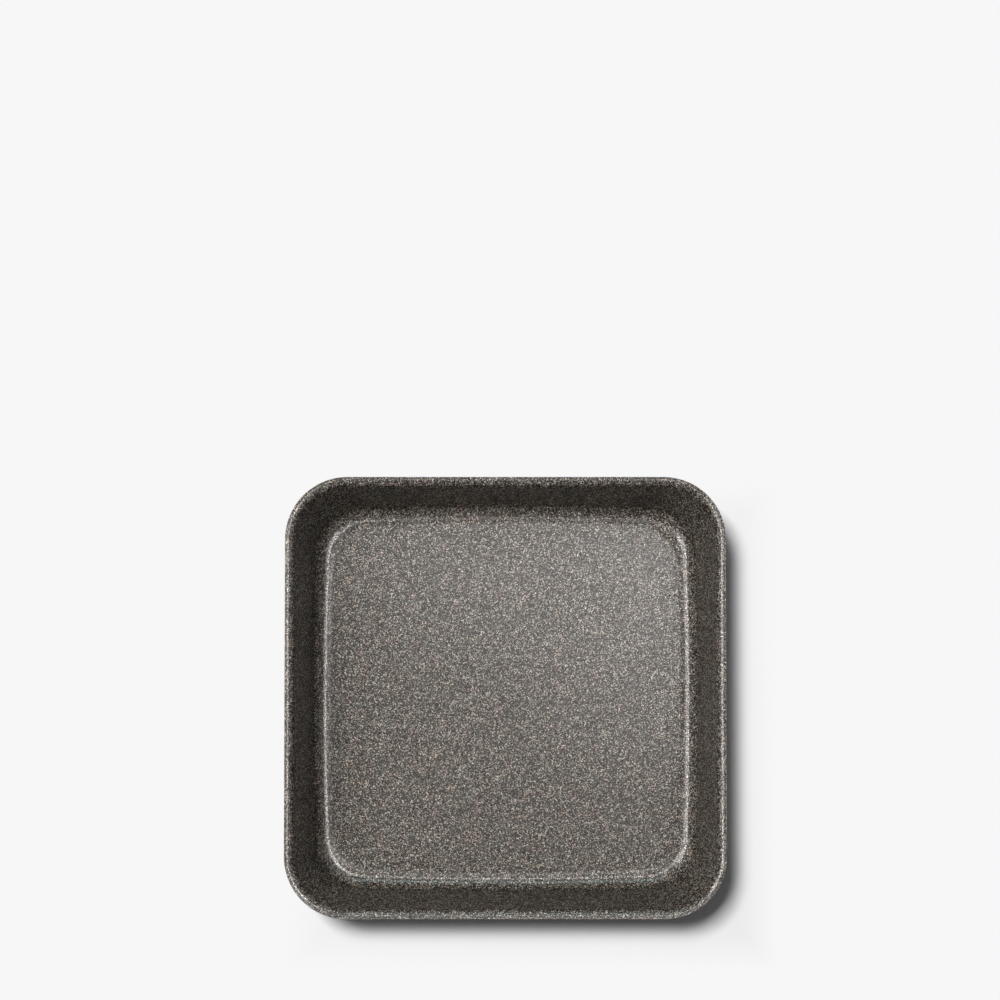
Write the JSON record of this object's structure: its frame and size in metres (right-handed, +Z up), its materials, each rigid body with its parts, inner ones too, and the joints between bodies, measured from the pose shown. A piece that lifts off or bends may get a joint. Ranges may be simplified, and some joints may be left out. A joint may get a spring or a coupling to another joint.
{
  "type": "square baking pan",
  "caption": "Square drawn baking pan with round corners, leaning walls and a short flared lip; speckled non-stick coat inside, plain charcoal coat outside.",
  "frame": {"origin": "middle of the base's underside, where the pan stands", "axes": "+Z up, out of the pan's mouth; +X and +Y square to the walls"},
  "size_m": [0.24, 0.24, 0.052],
  "materials": {
    "aluminium_sheet": "drawn sheet, bare where the coats part under the lip",
    "stone_coating": "satin non-stick coat, dark grey-brown with dense cream, grey and tan flecks",
    "charcoal_coating": "matt to satin charcoal coat with a fine grain"
  },
  "bodies": {
    "root": {"pressed_shell": "aluminium_sheet", "interior_coating": "stone_coating", "exterior_coating": "charcoal_coating"}
  },
  "joints": []
}
